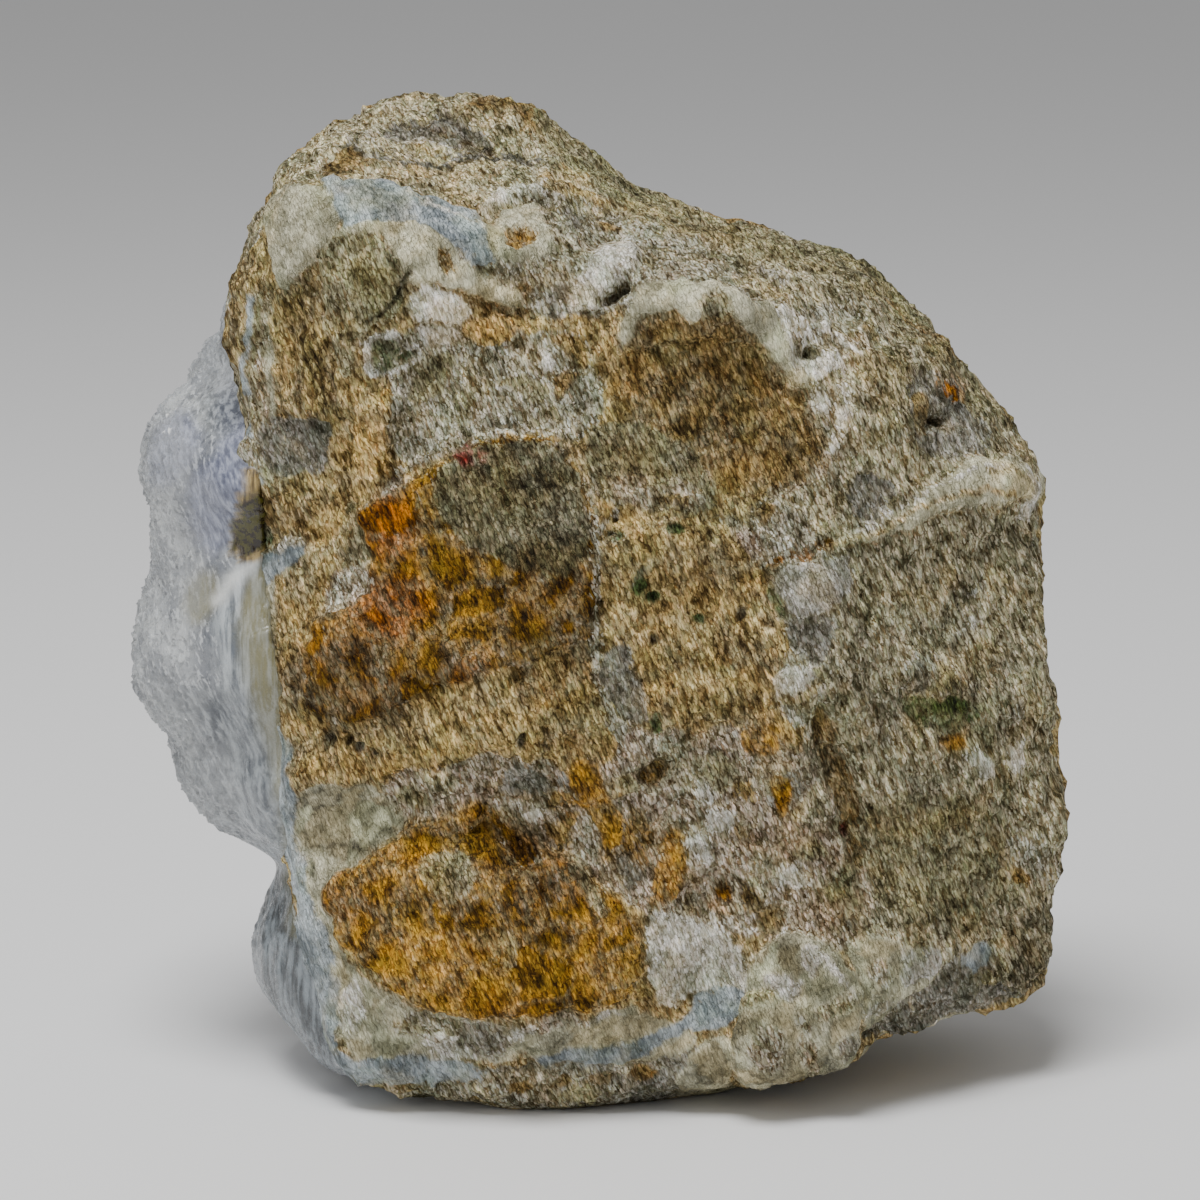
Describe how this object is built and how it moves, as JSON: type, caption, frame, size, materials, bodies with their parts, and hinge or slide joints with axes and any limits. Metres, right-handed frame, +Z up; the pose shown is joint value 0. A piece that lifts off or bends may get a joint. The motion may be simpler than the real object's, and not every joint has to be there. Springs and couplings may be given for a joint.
{
  "type": "blue lace agate geode",
  "caption": "Rough piece of a geode wall: broken brecciated host rock with pale blue agate lobes and a crystal-lined hollow, standing on a small flat spot.",
  "frame": {"origin": "middle of the bottom of the whole piece's bounding box, on the surface that the geode rests on", "axes": "+Z up as it rests, -Y out of the rough rock face that the picture shows, +X to the right of that face"},
  "size_m": [0.0944, 0.0604, 0.0982],
  "materials": {
    "host_rock": "rough",
    "agate": "satin",
    "druzy_quartz": "glossy"
  },
  "bodies": {
    "root": {"host_rock": "host_rock", "agate_lining": "agate", "druzy_crust": "druzy_quartz"}
  },
  "joints": []
}
